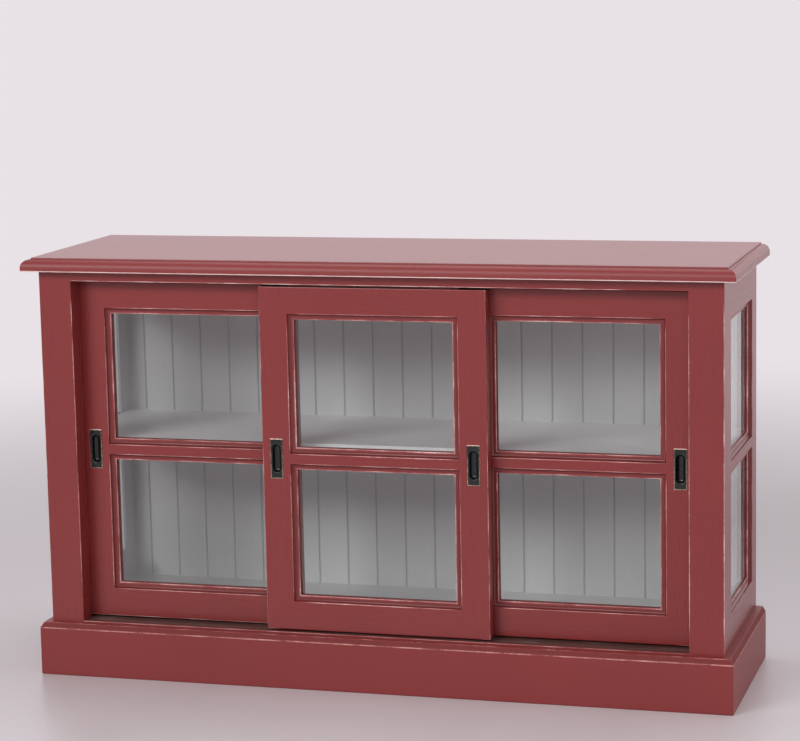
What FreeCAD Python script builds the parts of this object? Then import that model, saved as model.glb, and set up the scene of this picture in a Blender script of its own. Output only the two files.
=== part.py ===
"""Glazed sideboard: a painted cabinet with three sliding doors on two lanes, glazed sides and a plinth.

Millimetres. The origin is on the floor under the middle of the whole cabinet: +X to the right,
+Y to the back, +Z up. The front faces -Y.
"""
import FreeCAD, Part
import math
import os
import types

import Sketcher

SIZES = {
    # Whole cabinet, measured over the top board
    "top_width": 1500,
    "top_depth": 457,
    "overall_height": 896,
    # Top board with its stepped ovolo edge
    "top_thickness": 28,
    "top_side_overhang": 28,
    "top_front_overhang": 32,
    "top_step_height": 3.2,
    "top_step_width": 1.5,
    "top_curve_width": 16.5,
    "top_curve_height": 15.5,
    # Corner posts and side frames
    "post_width": 71,
    "post_rebate": 6,
    "post_back_margin": 8,
    "post_face_clearance": 2,
    "side_thickness": 28,
    "rear_stile_width": 58,
    "floor_clearance": 20,
    # Plinth
    "plinth_height": 113.5,
    "plinth_thickness": 21,
    "plinth_chamfer_width": 7,
    "plinth_chamfer_height": 11,
    # Sill, track board and the rail over the doors
    "sill_rise": 3,
    "sill_height": 24,
    "sill_lip_width": 8,
    "track_thickness": 5,
    "track_recess": 1,
    "track_groove_width": 8,
    "track_groove_depth": 2.5,
    "front_rail_height": 22,
    # Doors and their two lanes
    "door_width": 480,
    "door_thickness": 28,
    "door_setback": 10,
    "lane_gap": 8,
    "door_top_gap": 6,
    "door_bottom_gap": 3.5,
    "closing_gap": 0.5,
    "door_stile_width": 60,
    "door_top_rail_height": 56,
    "door_mid_rail_height": 22,
    "door_bottom_rail_height": 60,
    "guide_tongue_thickness": 8,
    "guide_tongue_height": 16,
    "guide_clearance": 0.5,
    # Panes and what holds them
    "moulding_width": 12,
    "moulding_depth": 12,
    "glass_thickness": 4,
    "glass_clearance": 1,
    "bead_chamfer": 4,
    # Flush pulls
    "pull_width": 27,
    "pull_height": 84,
    "pull_plate_thickness": 1.8,
    "pull_proud": 0.6,
    "pull_clearance": 0.2,
    "cup_width": 17,
    "cup_height": 58,
    "cup_depth": 10,
    "cup_wall": 1.2,
    "cup_round": 4,
    # Door rollers
    "roller_radius": 15,
    "roller_width": 6,
    "roller_rim_round": 1,
    "roller_inset": 60,
    "roller_side_clearance": 1.5,
    "roller_tip_clearance": 2,
    "roller_bore_clearance": 0.05,
    "roller_floor_clearance": 0.3,
    "axle_radius": 2,
    "axle_length": 20,
    "axle_fit": 0.02,
    # Inside
    "shelf_thickness": 20,
    "shelf_rise": 9,
    "bottom_thickness": 20,
    "bottom_rise": 3.5,
    "cleat_width": 20,
    "cleat_height": 12,
    "back_thickness": 12,
    "back_rebate": 14,
    "board_pitch": 67,
    "board_joint": 2.5,
    "board_tongue_thickness": 4,
    "board_tongue_length": 6,
    "board_fit": 0.2,
    "back_rail_height": 62,
    "back_rail_thickness": 22,
    # Cutting tools reach this far past what they cut
    "overrun": 5,
}

# Glazing moulding, from the arris of the frame to the glass: shares of its depth and of its width
ARRIS_SHARES = (0.08, 0.0)
ROUND_SHARES = (0.48, 0.50)
QUIRK_SHARES = (0.59, 0.52)
OVOLO_SHARES = (0.59, 0.58)
ROUND_RADIUS_SHARE = 0.52
OVOLO_RADIUS_SHARE = 0.43


class Size:
    """A length: its value, and the expression of named sizes that it comes from."""

    def __init__(self, value, text):
        self.value = value
        self.text = text

    def __add__(self, other):
        other = as_size(other)
        return Size(self.value + other.value, f"({self.text} + {other.text})")

    def __radd__(self, other):
        return as_size(other) + self

    def __sub__(self, other):
        other = as_size(other)
        return Size(self.value - other.value, f"({self.text} - {other.text})")

    def __rsub__(self, other):
        return as_size(other) - self

    def __mul__(self, other):
        other = as_size(other)
        return Size(self.value * other.value, f"{self.text} * {other.text}")

    def __rmul__(self, other):
        return as_size(other) * self

    def __truediv__(self, other):
        other = as_size(other)
        return Size(self.value / other.value, f"{self.text} / ({other.text})")

    def __neg__(self):
        return 0 - self


def as_size(number):
    """Gives a plain number the form of a Size."""
    return number if isinstance(number, Size) else Size(float(number), f"({number})")


doc = FreeCAD.newDocument("glazed_sideboard")
sheet = doc.addObject("Spreadsheet::Sheet", "Sizes")
for row, (alias, number) in enumerate(SIZES.items(), start=1):
    sheet.set(f"A{row}", alias)
    sheet.set(f"B{row}", str(number))
    sheet.setAlias(f"B{row}", alias)
doc.recompute()
s = types.SimpleNamespace(**{alias: Size(float(sheet.get(alias)), f"Sizes.{alias}") for alias in SIZES})
parts = []

ALONG_Y = FreeCAD.Rotation(FreeCAD.Vector(1, 0, 0), -90)
FACING_X = FreeCAD.Rotation(FreeCAD.Vector(1, 1, 1), 120)
FACING_FRONT = FreeCAD.Rotation(FreeCAD.Vector(1, 0, 0), 90)
UNTURNED = FreeCAD.Rotation()


# Levels and planes that several pieces share
half = s.top_width / 2 - s.top_side_overhang
front = s.top_front_overhang - s.top_depth / 2
rear = s.top_depth / 2
post_inner = half - s.post_width
jamb = post_inner + s.post_rebate
side_inner = half - s.side_thickness
underside = s.overall_height - s.top_thickness
rail_bottom = underside - s.front_rail_height
sill_top = s.plinth_height + s.sill_rise
sill_floor = sill_top - s.track_recess - s.track_thickness

front_lane = front + s.door_setback
rear_lane = front_lane + s.door_thickness + s.lane_gap
post_face_back = rear_lane - s.post_face_clearance
post_back = rear_lane + s.door_thickness + s.post_back_margin
lane_middles = (front_lane + s.door_thickness / 2, rear_lane + s.door_thickness / 2)

door_bottom = sill_top + s.door_bottom_gap
door_top = rail_bottom - s.door_top_gap
door_height = door_top - door_bottom
door_rails = s.door_top_rail_height + s.door_mid_rail_height + s.door_bottom_rail_height
pane_height = (door_height - door_rails) / 2
lower_pane = door_bottom + s.door_bottom_rail_height
mid_rail = lower_pane + pane_height
upper_pane = mid_rail + s.door_mid_rail_height
pane_top = upper_pane + pane_height
door_pane_width = s.door_width - 2 * s.door_stile_width

back_face = rear - s.back_thickness
side_pane_front = post_back
side_pane_rear = rear - s.rear_stile_width
side_pane_width = side_pane_rear - side_pane_front
shelf_top = upper_pane + s.shelf_rise
shelf_bottom = shelf_top - s.shelf_thickness
bottom_top = sill_top + s.bottom_rise
bottom_underside = bottom_top - s.bottom_thickness

track_top = sill_top - s.track_recess
groove_floor = track_top - s.track_groove_depth
roller_height = groove_floor + s.roller_floor_clearance + s.roller_radius


def bind(item, name, size):
    """Drives a property from the sheet."""
    item.setExpression(name, as_size(size).text)


def place(item, corner, rotation=UNTURNED):
    """Turns an object and drives its position from the sheet."""
    item.Placement = FreeCAD.Placement(FreeCAD.Vector(), rotation)
    for axis, size in zip("xyz", corner):
        bind(item, f"Placement.Base.{axis}", size)


def keep(item, label):
    """Lists a finished sub-part under its own name."""
    item.Label = label
    parts.append(item)
    return item


def box(name, corner, lengths):
    item = doc.addObject("Part::Box", name)
    for prop, size in zip(("Length", "Width", "Height"), lengths):
        bind(item, prop, size)
    place(item, corner)
    return item


def rod(name, corner, radius, length):
    """A cylinder that runs to the back from the corner."""
    item = doc.addObject("Part::Cylinder", name)
    bind(item, "Radius", radius)
    bind(item, "Height", length)
    place(item, corner, ALONG_Y)
    return item


def compound(name, items):
    item = doc.addObject("Part::Compound", name)
    item.Links = items
    return item


def boolean(kind, name, base, tool):
    item = doc.addObject(f"Part::{kind}", name)
    item.Base = base
    item.Tool = tool
    return item


def cut(name, base, tools):
    """Cuts one or more tools from a solid."""
    tool = tools[0] if len(tools) == 1 else compound(f"{name}_tools", tools)
    return boolean("Cut", name, base, tool)


def arc_between(start, end, radius):
    """The arc from start to end; a positive radius turns left. Returns it with its end numbers."""
    chord = end - start
    rise = math.sqrt(max(radius ** 2 - (chord.Length / 2) ** 2, 0))
    leftward = FreeCAD.Vector(-chord.y, chord.x, 0).normalize()
    centre = start + chord * 0.5 + leftward * math.copysign(rise, radius)
    first, last = (start, end) if radius > 0 else (end, start)
    angles = [math.atan2(p.y - centre.y, p.x - centre.x) for p in (first, last)]
    circle = Part.Circle(centre, FreeCAD.Vector(0, 0, 1), abs(radius))
    return Part.ArcOfCircle(circle, *angles), ((1, 2) if radius > 0 else (2, 1))


def draw(sketch, corners):
    """Closes an outline through corners of a sketch, all driven from the sheet.

    A third entry in a corner is the radius of the arc that leads on to the next corner.
    """
    points = [FreeCAD.Vector(as_size(c[0]).value, as_size(c[1]).value, 0) for c in corners]
    ends = []
    for index, corner in enumerate(corners):
        start, end = points[index], points[(index + 1) % len(points)]
        if len(corner) == 2:
            sketch.addGeometry(Part.LineSegment(start, end))
            ends.append((1, 2))
        else:
            arc, numbers = arc_between(start, end, corner[2].value)
            sketch.addGeometry(arc)
            ends.append(numbers)
    for index, corner in enumerate(corners):
        following = (index + 1) % len(corners)
        joined = Sketcher.Constraint("Coincident", index, ends[index][1], following, ends[following][0])
        sketch.addConstraint(joined)
        for axis_line, kind, size in ((-2, "DistanceX", corner[0]), (-1, "DistanceY", corner[1])):
            size = as_size(size)
            if size.value == 0:
                sketch.addConstraint(Sketcher.Constraint("PointOnObject", index, ends[index][0], axis_line))
            else:
                number = sketch.addConstraint(
                    Sketcher.Constraint(kind, -1, 1, index, ends[index][0], size.value))
                bind(sketch, f"Constraints[{number}]", size)
        if len(corner) == 3:
            radius = corner[2] if corner[2].value > 0 else -corner[2]
            number = sketch.addConstraint(Sketcher.Constraint("Radius", index, radius.value))
            bind(sketch, f"Constraints[{number}]", radius)


def extrusion(name, corners, corner, rotation, length):
    """Extrudes an outline along the normal of its own turned plane."""
    sketch = doc.addObject("Sketcher::SketchObject", f"{name}_outline")
    draw(sketch, corners)
    place(sketch, corner, rotation)
    item = doc.addObject("Part::Extrusion", name)
    item.Base = sketch
    item.DirMode = "Normal"
    item.Solid = True
    bind(item, "LengthFwd", length)
    return item


def origin_plane(body, role):
    return next(f for f in body.Origin.OriginFeatures if f.Role == role)


def body_sketch(body, name, role, corners):
    sketch = body.newObject("Sketcher::SketchObject", name)
    sketch.AttachmentSupport = [(origin_plane(body, role), "")]
    sketch.MapMode = "FlatFace"
    draw(sketch, corners)
    return sketch


def rectangle(left, low, width, height):
    return [(left, low), (left + width, low), (left + width, low + height), (left, low + height)]


def upright_slot(left, low, width, height):
    """A slot with round ends, each end drawn as two quarter circles."""
    r = width / 2
    right, middle, high = left + width, left + r, low + height
    return [(left, low + r, r), (middle, low, r), (right, low + r),
            (right, high - r, r), (middle, high, r), (left, high - r)]


def build_top_board():
    """Moulded on the front and both ends, plain at the back."""
    inset = s.top_step_width + s.top_curve_width
    radius = (s.top_curve_width * s.top_curve_width + s.top_curve_height * s.top_curve_height) / (
        2 * s.top_curve_height)
    ledge = s.top_thickness - s.top_step_height
    curve_foot = ledge - s.top_curve_height
    left = -s.top_width / 2
    moulded_front = [
        (0, 0), (s.top_depth, 0), (s.top_depth, s.top_thickness), (inset, s.top_thickness),
        (inset, ledge), (s.top_curve_width, ledge, radius), (0, curve_foot)]
    moulded_ends = [
        (0, 0), (s.top_width, 0), (s.top_width, curve_foot, radius),
        (s.top_width - s.top_curve_width, ledge), (s.top_width - inset, ledge),
        (s.top_width - inset, s.top_thickness), (inset, s.top_thickness), (inset, ledge),
        (s.top_curve_width, ledge, radius), (0, curve_foot)]
    lengthwise = extrusion("top_lengthwise", moulded_front, (left, -rear, underside), FACING_X, s.top_width)
    crosswise = extrusion("top_crosswise", moulded_ends, (left, rear, underside), FACING_FRONT, s.top_depth)
    keep(boolean("Common", "top", lengthwise, crosswise), "top_board")


def build_posts():
    depth = post_back - front
    rebate_depth = post_back - post_face_back + s.overrun
    rebate_lengths = (s.post_rebate + s.overrun, rebate_depth, underside + 2 * s.overrun)
    for side, left, rebate_left in (
            ("left", -half, -jamb), ("right", post_inner, post_inner - s.overrun)):
        post = box(f"{side}_post_blank", (left, front, 0), (s.post_width, depth, underside))
        rebate = box(f"{side}_post_rebate", (rebate_left, post_face_back, -s.overrun), rebate_lengths)
        keep(cut(f"{side}_post_cut", post, [rebate]), f"{side}_front_post")


def build_side_frames():
    rails = (("top", pane_top, underside), ("mid", mid_rail, upper_pane),
             ("bottom", s.floor_clearance, lower_pane))
    rebate_lengths = (s.back_rebate + s.overrun, s.back_thickness + s.overrun, underside + 2 * s.overrun)
    for side, left, rebate_left in (
            ("left", -half, -side_inner - s.back_rebate), ("right", side_inner, side_inner - s.overrun)):
        blank = box(f"{side}_stile_blank", (left, side_pane_rear, 0),
                    (s.side_thickness, s.rear_stile_width, underside))
        rebate = box(f"{side}_stile_rebate", (rebate_left, back_face, -s.overrun), rebate_lengths)
        keep(cut(f"{side}_stile_cut", blank, [rebate]), f"{side}_rear_stile")
        for name, low, high in rails:
            rail = box(f"{side}_{name}_rail", (left, side_pane_front, low),
                       (s.side_thickness, side_pane_width, high - low))
            keep(rail, f"{side}_side_{name}_rail")


def build_plinth():
    """Three boards with a chamfered top edge, mitred at the front corners."""
    outer = half + s.plinth_thickness
    arris = s.plinth_height - s.plinth_chamfer_height
    flat = s.plinth_thickness - s.plinth_chamfer_width
    chamfered_out = [
        (0, 0), (s.plinth_thickness, 0), (s.plinth_thickness, arris),
        (flat, s.plinth_height), (0, s.plinth_height)]
    chamfered_in = [
        (0, 0), (s.plinth_thickness, 0), (s.plinth_thickness, s.plinth_height),
        (s.plinth_chamfer_width, s.plinth_height), (0, arris)]
    foremost = front - s.plinth_thickness
    run = rear - foremost
    tall = s.plinth_height + 2 * s.overrun
    reach = s.plinth_thickness + s.overrun

    front_bar = extrusion("plinth_front_bar", chamfered_in, (-outer, foremost, 0), FACING_X, 2 * outer)
    front_mitre = extrusion(
        "plinth_front_mitre",
        [(0, 0), (2 * outer, 0), (2 * outer - reach, reach), (reach, reach)],
        (-outer, foremost, -s.overrun), UNTURNED, tall)
    keep(boolean("Common", "plinth_front_cut", front_bar, front_mitre), "plinth_front")

    for side, left, outline, mitre in (
            ("left", -outer, chamfered_in,
             [(0, 0), (reach, reach), (reach, run + s.overrun), (0, run + s.overrun)]),
            ("right", half, chamfered_out,
             [(0, s.plinth_thickness), (s.plinth_thickness, 0), (s.plinth_thickness, run + s.overrun),
              (0, run + s.overrun)])):
        bar = extrusion(f"plinth_{side}_bar", outline, (left, rear, 0), FACING_FRONT, run)
        wedge = extrusion(f"plinth_{side}_mitre", mitre, (left, foremost, -s.overrun), UNTURNED, tall)
        keep(boolean("Common", f"plinth_{side}_cut", bar, wedge), f"plinth_{side}")


def build_door_frame_rails():
    """The sill with its track below the doors, and the rail with its guide strips above them."""
    width = 2 * post_inner
    depth = post_back - front
    blank = box("sill_blank", (-post_inner, front, sill_top - s.sill_height), (width, depth, s.sill_height))
    seat = box("track_seat", (-post_inner - s.overrun, front + s.sill_lip_width, sill_floor),
               (width + 2 * s.overrun, depth, s.sill_height))
    keep(cut("sill_cut", blank, [seat]), "sill")

    track = box("track_blank", (-post_inner, front + s.sill_lip_width, sill_floor),
                (width, depth - s.sill_lip_width, s.track_thickness))
    grooves = [
        box("track_groove", (-post_inner - s.overrun, middle - s.track_groove_width / 2, groove_floor),
            (width + 2 * s.overrun, s.track_groove_width, s.track_thickness))
        for middle in lane_middles]
    keep(cut("track_cut", track, grooves), "track_board")

    gap = s.guide_tongue_thickness / 2 + s.guide_clearance
    edges = [front, lane_middles[0] - gap, lane_middles[0] + gap,
             lane_middles[1] - gap, lane_middles[1] + gap, post_back]
    strips = [
        box("head_strip", (-post_inner, low, rail_bottom), (width, high - low, s.front_rail_height))
        for low, high in zip(edges[::2], edges[1::2])]
    keep(strips[0], "front_top_rail")
    keep(compound("guide_strip_pair", strips[1:]), "guide_strips")


def build_inside():
    width = 2 * side_inner
    depth = back_face - post_back
    keep(box("bottom", (-side_inner, post_back, bottom_underside), (width, depth, s.bottom_thickness)),
         "bottom_panel")
    keep(box("shelf_board", (-side_inner, post_back, shelf_bottom), (width, depth, s.shelf_thickness)),
         "shelf")

    cleat_low = shelf_bottom - s.cleat_height
    cleats = [
        box("side_cleat", (left, post_back, cleat_low), (s.cleat_width, depth - s.cleat_width, s.cleat_height))
        for left in (-side_inner, side_inner - s.cleat_width)]
    cleats.append(box("back_cleat", (-side_inner, back_face - s.cleat_width, cleat_low),
                      (width, s.cleat_width, s.cleat_height)))
    keep(compound("cleats", cleats), "shelf_cleats")

    rails = [
        box("back_rail", (-side_inner, back_face - s.back_rail_thickness, high - s.back_rail_height),
            (width, s.back_rail_thickness, s.back_rail_height))
        for high in (bottom_underside, underside)]
    keep(compound("back_rail_pair", rails), "back_rails")


def build_back_boards():
    """Tongued and grooved upright boards with V-joints, laid from the left and trimmed to the rebates."""
    tongue_low = (s.back_thickness - s.board_tongue_thickness) / 2
    tongue_high = tongue_low + s.board_tongue_thickness
    groove_depth = s.board_tongue_length + s.board_fit
    tip = s.board_pitch + s.board_tongue_length
    outline = [
        (s.board_joint, 0), (s.board_pitch - s.board_joint, 0), (s.board_pitch, s.board_joint),
        (s.board_pitch, tongue_low), (tip, tongue_low), (tip, tongue_high), (s.board_pitch, tongue_high),
        (s.board_pitch, s.back_thickness), (0, s.back_thickness), (0, tongue_high + s.board_fit),
        (groove_depth, tongue_high + s.board_fit), (groove_depth, tongue_low - s.board_fit),
        (0, tongue_low - s.board_fit), (0, s.board_joint)]
    height = underside - s.floor_clearance
    board = extrusion("back_board", outline, (0, 0, 0), UNTURNED, height)
    reach = side_inner + s.back_rebate
    count = math.ceil((half + reach).value / s.board_pitch.value)
    boards = [
        placed_copy("laid_board", board, (-half + number * s.board_pitch, back_face, s.floor_clearance))
        for number in range(count)]
    room = box("back_room", (-reach, back_face, s.floor_clearance), (2 * reach, s.back_thickness, height))
    for end in (0, count - 1):
        boards[end] = boolean("Common", "end_board", boards[end], room)
    keep(compound("laid_boards", boards), "back_boards")


def placed_copy(name, master, corner, rotation=UNTURNED):
    item = compound(name, [master])
    place(item, corner, rotation)
    return item


def mitred_length(name, outline, run, depth):
    """One length of glazing moulding: it runs along X, with its depth along Y and its width along Z."""
    bar = extrusion(f"{name}_bar", outline, (0, 0, 0), FACING_X, run)
    reach = s.moulding_width + 2 * s.overrun
    wedge = extrusion(
        f"{name}_mitre",
        [(0, 0), (run + 2 * s.overrun, 0), (run - s.moulding_width, reach), (reach, reach)],
        (-s.overrun, depth + s.overrun, -s.overrun), FACING_FRONT, depth + 2 * s.overrun)
    return boolean("Common", name, bar, wedge)


def moulding_outline():
    """An arris that is rounded down to a quirk, then an ovolo that ends at the glass."""
    def at(shares):
        return shares[0] * s.moulding_depth, shares[1] * s.moulding_width
    return [
        (*at(ARRIS_SHARES), -ROUND_RADIUS_SHARE * s.moulding_width), at(ROUND_SHARES), at(QUIRK_SHARES),
        (*at(OVOLO_SHARES), -OVOLO_RADIUS_SHARE * s.moulding_width),
        (s.moulding_depth, s.moulding_width), (s.moulding_depth, 0)]


def bead_outline(depth):
    return [
        (0, 0), (0, s.moulding_width), (depth - s.bead_chamfer, s.moulding_width),
        (depth, s.moulding_width - s.bead_chamfer), (depth, 0)]


class Glazing:
    """Panes with their mouldings and beads for openings of one width, in a frame of one thickness."""

    def __init__(self, name, width, thickness):
        self.name = name
        self.width = width
        self.bead_depth = thickness - s.moulding_depth - s.glass_thickness
        self.mouldings = [
            mitred_length(f"{name}_moulding_{way}", moulding_outline(), run, s.moulding_depth)
            for way, run in (("across", width), ("up", pane_height))]
        self.beads = [
            mitred_length(f"{name}_bead_{way}", bead_outline(self.bead_depth), run, self.bead_depth)
            for way, run in (("across", width), ("up", pane_height))]

    def moved(self, corner, turn, along, deep, up):
        """A point of an opening: along its width, deep into the frame and up from its corner."""
        x, y, z = corner
        across = {0: (x + along, y + deep), 90: (x - deep, y + along), -90: (x + deep, y - along)}
        return (*across[turn], z + up)

    def frame(self, lengths, corner, turn, deep):
        """Four mitred lengths round one opening."""
        sides = ((0, 0, 0), (-90, self.width, 0), (180, self.width, pane_height), (90, 0, pane_height))
        facing = FreeCAD.Rotation(FreeCAD.Vector(0, 0, 1), turn)
        return [
            placed_copy(f"{self.name}_length", lengths[number % 2],
                        self.moved(corner, turn, along, deep, up),
                        facing * FreeCAD.Rotation(FreeCAD.Vector(0, 1, 0), roll))
            for number, (roll, along, up) in enumerate(sides)]

    def lengths_at(self, corner, turn=0):
        """The mouldings and beads of one opening."""
        return (self.frame(self.mouldings, corner, turn, 0)
                + self.frame(self.beads, corner, turn, s.moulding_depth + s.glass_thickness))

    def pane_at(self, corner, turn=0):
        pane = box(f"{self.name}_pane", (0, 0, 0), (
            self.width - 2 * s.glass_clearance, s.glass_thickness, pane_height - 2 * s.glass_clearance))
        place(pane, self.moved(corner, turn, s.glass_clearance, s.moulding_depth, s.glass_clearance),
              FreeCAD.Rotation(FreeCAD.Vector(0, 0, 1), turn))
        return pane


def build_side_glazing():
    glazing = Glazing("side", side_pane_width, s.side_thickness)
    openings = [((half, side_pane_front, low), 90) for low in (lower_pane, upper_pane)]
    openings += [((-half, side_pane_rear, low), -90) for low in (lower_pane, upper_pane)]
    keep(compound("side_panes", [glazing.pane_at(*opening) for opening in openings]), "side_glass")
    lengths = [length for opening in openings for length in glazing.lengths_at(*opening)]
    keep(compound("side_lengths", lengths), "side_glazing_beads")


def pull_mortise(name, plate_left, plate_low, face):
    """What is cut from a stile for a flush pull: the plate's shallow seat and the deep slot for its cup."""
    loose = s.pull_clearance
    seat = box(f"{name}_seat", (plate_left - loose, face - s.overrun, plate_low - loose),
               (s.pull_width + 2 * loose, s.overrun + s.pull_plate_thickness - s.pull_proud,
                s.pull_height + 2 * loose))
    edge = s.cup_wall + loose
    deep = s.cup_depth + s.cup_wall + loose - s.pull_proud
    slot = extrusion(
        f"{name}_slot", upright_slot(0, 0, s.cup_width + 2 * edge, s.cup_height + 2 * edge),
        (plate_left + (s.pull_width - s.cup_width) / 2 - edge, face + deep,
         plate_low + (s.pull_height - s.cup_height) / 2 - edge),
        FACING_FRONT, deep + s.overrun)
    return boolean("Fuse", f"{name}_mortise", seat, slot)


def build_pull(label, plate_left, plate_low, face):
    """A flush pull: a plate with an oblong finger cup, its bottom edge rounded inside."""
    body = doc.addObject("PartDesign::Body", f"{label}_body")
    cup_left = (s.pull_width - s.cup_width) / 2
    cup_low = (s.pull_height - s.cup_height) / 2
    shell = upright_slot(cup_left - s.cup_wall, cup_low - s.cup_wall,
                         s.cup_width + 2 * s.cup_wall, s.cup_height + 2 * s.cup_wall)
    for name, outline, depth in (
            ("plate", rectangle(0, 0, s.pull_width, s.pull_height), s.pull_plate_thickness),
            ("shell", shell, s.cup_depth + s.cup_wall)):
        pad = body.newObject("PartDesign::Pad", f"{label}_{name}")
        pad.Profile = body_sketch(body, f"{label}_{name}_outline", "XZ_Plane", outline)
        pad.Reversed = True
        bind(pad, "Length", depth)
    hollow = body.newObject("PartDesign::Pocket", f"{label}_hollow")
    hollow.Profile = body_sketch(body, f"{label}_hollow_outline", "XZ_Plane",
                                 upright_slot(cup_left, cup_low, s.cup_width, s.cup_height))
    bind(hollow, "Length", s.cup_depth)
    doc.recompute()
    floor_edges = [
        f"Edge{number}" for number, edge in enumerate(hollow.Shape.Edges, start=1)
        if abs(edge.BoundBox.YMin - s.cup_depth.value) < edge.BoundBox.DiagonalLength / 1000
        and abs(edge.BoundBox.YMax - s.cup_depth.value) < edge.BoundBox.DiagonalLength / 1000]
    rounding = body.newObject("PartDesign::Fillet", f"{label}_rounding")
    rounding.Base = (hollow, floor_edges)
    bind(rounding, "Radius", s.cup_round)
    body.Tip = rounding
    place(body, (plate_left, face - s.pull_proud, plate_low))
    keep(body, label)


def build_roller(label, across, middle):
    """A nylon wheel with a rounded rim, turning on its pin."""
    body = doc.addObject("PartDesign::Body", f"{label}_body")
    bore = s.axle_radius + s.roller_bore_clearance
    rim = s.roller_radius - s.roller_rim_round
    section = [
        (bore, 0), (rim, 0, s.roller_rim_round), (s.roller_radius, s.roller_rim_round),
        (s.roller_radius, s.roller_width - s.roller_rim_round, s.roller_rim_round),
        (rim, s.roller_width), (bore, s.roller_width)]
    sketch = body_sketch(body, f"{label}_section", "XY_Plane", section)
    turned = body.newObject("PartDesign::Revolution", f"{label}_turned")
    turned.Profile = sketch
    turned.ReferenceAxis = (sketch, ["V_Axis"])
    turned.Angle = 360
    body.Tip = turned
    place(body, (across, middle - s.roller_width / 2, roller_height))
    keep(body, label)


def build_bottom_rail(name, left, face, roller_places):
    """The bottom rail, mortised from below for its rollers and bored from behind for their pins."""
    width = s.roller_width + 2 * s.roller_side_clearance
    length = 2 * (s.roller_radius + s.roller_tip_clearance)
    high = roller_height + s.roller_radius + s.roller_tip_clearance
    bore_front = face + (s.door_thickness - s.axle_length) / 2
    tools = []
    for across in roller_places:
        tools.append(box(f"{name}_roller_mortise",
                         (across - length / 2, face + (s.door_thickness - width) / 2, door_bottom - s.overrun),
                         (length, width, high - door_bottom + s.overrun)))
        tools.append(rod(f"{name}_pin_bore", (across, bore_front, roller_height),
                         s.axle_radius + s.axle_fit, s.door_thickness))
    blank = box(f"{name}_bottom_rail_blank", (left, face, door_bottom),
                (door_pane_width, s.door_thickness, s.door_bottom_rail_height))
    keep(cut(f"{name}_bottom_rail_cut", blank, tools), f"{name}_bottom_rail")
    pins = [rod(f"{name}_pin", (across, bore_front, roller_height), s.axle_radius, s.axle_length)
            for across in roller_places]
    keep(compound(f"{name}_pins", pins), f"{name}_roller_pins")


def build_door(name, left, face, glazing, pulls):
    """A glazed sliding door. Its pulls name the stiles that carry one."""
    pane_left = left + s.door_stile_width
    pull_low = (mid_rail + upper_pane) / 2 - s.pull_height / 2
    for side, stile_left in (("left", left), ("right", pane_left + door_pane_width)):
        stile = box(f"{name}_{side}_stile_blank", (stile_left, face, door_bottom),
                    (s.door_stile_width, s.door_thickness, door_height))
        if side in pulls:
            plate_left = stile_left + (s.door_stile_width - s.pull_width) / 2
            mortise = pull_mortise(f"{name}_{side}_pull", plate_left, pull_low, face)
            stile = cut(f"{name}_{side}_stile_cut", stile, [mortise])
            label = f"{name}_pull" if len(pulls) == 1 else f"{name}_{side}_pull"
            build_pull(label, plate_left, pull_low, face)
        keep(stile, f"{name}_{side}_stile")

    head = box(f"{name}_head", (pane_left, face, pane_top),
               (door_pane_width, s.door_thickness, s.door_top_rail_height))
    tongue = box(f"{name}_tongue",
                 (pane_left, face + (s.door_thickness - s.guide_tongue_thickness) / 2, door_top),
                 (door_pane_width, s.guide_tongue_thickness, s.guide_tongue_height))
    keep(boolean("Fuse", f"{name}_head_and_tongue", head, tongue), f"{name}_top_rail")
    keep(box(f"{name}_middle", (pane_left, face, mid_rail),
             (door_pane_width, s.door_thickness, s.door_mid_rail_height)), f"{name}_mid_rail")

    roller_places = (pane_left + s.roller_inset, pane_left + door_pane_width - s.roller_inset)
    build_bottom_rail(name, pane_left, face, roller_places)
    for side, across in zip(("left", "right"), roller_places):
        build_roller(f"{name}_{side}_roller", across, face + s.door_thickness / 2)

    corners = [(pane_left, face, low) for low in (lower_pane, upper_pane)]
    keep(compound(f"{name}_panes", [glazing.pane_at(corner) for corner in corners]), f"{name}_glass")
    lengths = [length for corner in corners for length in glazing.lengths_at(corner)]
    keep(compound(f"{name}_lengths", lengths), f"{name}_glazing_beads")


def build_doors():
    """Two doors close against the jambs in the rear lane; the third runs before them in the middle."""
    glazing = Glazing("door", door_pane_width, s.door_thickness)
    closed = jamb - s.closing_gap
    build_door("left_door", -closed, rear_lane, glazing, ("left",))
    build_door("middle_door", -s.door_width / 2, front_lane, glazing, ("left", "right"))
    build_door("right_door", closed - s.door_width, rear_lane, glazing, ("right",))


def export_parts():
    """Writes every sub-part, after making sure that nothing in the document failed."""
    doc.recompute()
    failed = [item.Name for item in doc.Objects if {"Invalid", "Error"} & set(item.State)]
    failed += [item.Label for item in parts if item.Shape.isNull() or not item.Shape.isValid()]
    if failed:
        raise RuntimeError(f"not built: {failed}")
    os.makedirs("parts", exist_ok=True)
    for item in parts:
        item.Shape.exportStep(f"parts/{item.Label}.step")
        print(f"{item.Label}: {len(item.Shape.Solids)} solids, {item.Shape.Volume / 1000:.1f} cm3")
    print(f"{len(parts)} sub-parts")


build_top_board()
build_posts()
build_side_frames()
build_plinth()
build_door_frame_rails()
build_inside()
build_back_boards()
build_side_glazing()
build_doors()
export_parts()
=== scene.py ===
"""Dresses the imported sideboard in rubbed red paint, with panes, dark pulls and a pale stage."""

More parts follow.
